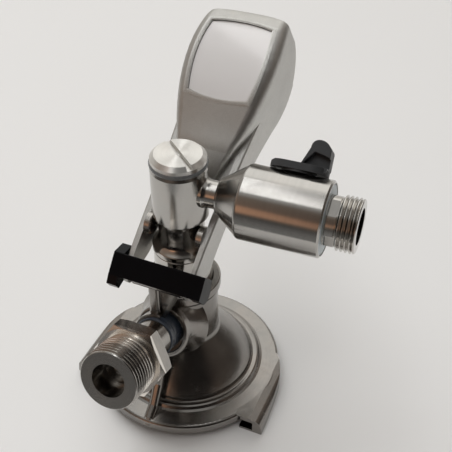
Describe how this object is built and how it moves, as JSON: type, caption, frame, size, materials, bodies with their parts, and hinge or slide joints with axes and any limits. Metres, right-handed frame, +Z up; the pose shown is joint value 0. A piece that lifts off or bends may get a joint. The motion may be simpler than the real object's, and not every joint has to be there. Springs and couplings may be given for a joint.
{
  "type": "keg coupler",
  "caption": "Stainless keg coupler: slider base, side gas inlet, lever handle over the probe, and a swivelling ball-valve outlet with threaded end.",
  "frame": {"origin": "bottom centre of the base, on the probe axis, level with the underside of the slider rails", "axes": "+Z up along the probe axis, -Y towards the gas inlet, +X towards the outlet valve in its drawn position"},
  "size_m": [0.1274, 0.1586, 0.1589],
  "materials": {
    "cast_body": "smooth polished stainless casting, darker and browner in the curves",
    "turned_steel": "turned stainless, bright with fine turning lines",
    "polished_steel": "polished stainless",
    "satin_steel": "satin turned stainless",
    "blasted_steel": "bead-blasted stainless casting",
    "pin_steel": "plain stainless pin",
    "black_plastic": "matt black moulded plastic",
    "black_rubber": "black rubber seal",
    "blue_seal": "dark blue-grey seal",
    "white_ptfe": "white sealing plastic with a cool tint",
    "white_label": "plain glossy white label plate"
  },
  "bodies": {
    "coupler": {"coupler_body": "cast_body", "keg_seal": "black_rubber", "neck_o_ring": "black_rubber", "hinge_pin": "pin_steel", "gas_inlet_adapter": "turned_steel", "inlet_seal_sleeve": "blue_seal", "inlet_valve_seat": "turned_steel", "inlet_valve_flap": "black_rubber"},
    "handle": {"handle_casting": "blasted_steel", "handle_label_plate": "white_label", "cam_lugs": "turned_steel"},
    "latch": {"latch_bar": "black_plastic"},
    "probe": {"probe_stem": "polished_steel", "probe_tip_seal": "black_rubber", "spigot_o_rings": "black_rubber", "check_ball_seat": "turned_steel", "swivel_cap_screw": "turned_steel", "cap_seal_ring": "blue_seal"},
    "check_ball": {"beer_check_ball": "polished_steel"},
    "outlet": {"swivel_valve_body": "satin_steel", "valve_seats": "white_ptfe", "outlet_adapter": "turned_steel", "outlet_face_ring": "white_ptfe", "stem_o_ring": "black_rubber"},
    "valve_drive": {"valve_ball": "polished_steel", "valve_stem": "turned_steel", "valve_knob": "black_plastic"}
  },
  "joints": [
    {"name": "handle_hinge", "type": "hinge", "parent": "coupler", "child": "handle", "pos_m": [0, -0.022, 0.079], "axis": [-1, 0, 0], "range_deg": [0, 40]},
    {"name": "probe_slide", "type": "slide", "parent": "coupler", "child": "probe", "axis": [0, 0, -1], "range_m": [0, 0.0141]},
    {"name": "latch_pivot", "type": "hinge", "parent": "handle", "child": "latch", "pos_m": [0, -0.022, 0.079], "axis": [1, 0, 0], "range_deg": [0, 35]},
    {"name": "outlet_swivel", "type": "hinge", "parent": "probe", "child": "outlet", "pos_m": [0, 0, 0.114], "axis": [0, 0, 1], "range_deg": [-110, 15]},
    {"name": "valve_turn", "type": "hinge", "parent": "outlet", "child": "valve_drive", "pos_m": [0.04812, 0.00278, 0.114], "axis": [-0.0407, 0.7059, 0.7071], "range_deg": [0, 90]},
    {"name": "check_ball_lift", "type": "slide", "parent": "probe", "child": "check_ball", "axis": [0, 0, 1], "range_m": [0, 0.004]}
  ],
  "couplings": [
    {"joint": "probe_slide", "follows": "handle_hinge", "m_per_rad": 0.020195}
  ]
}
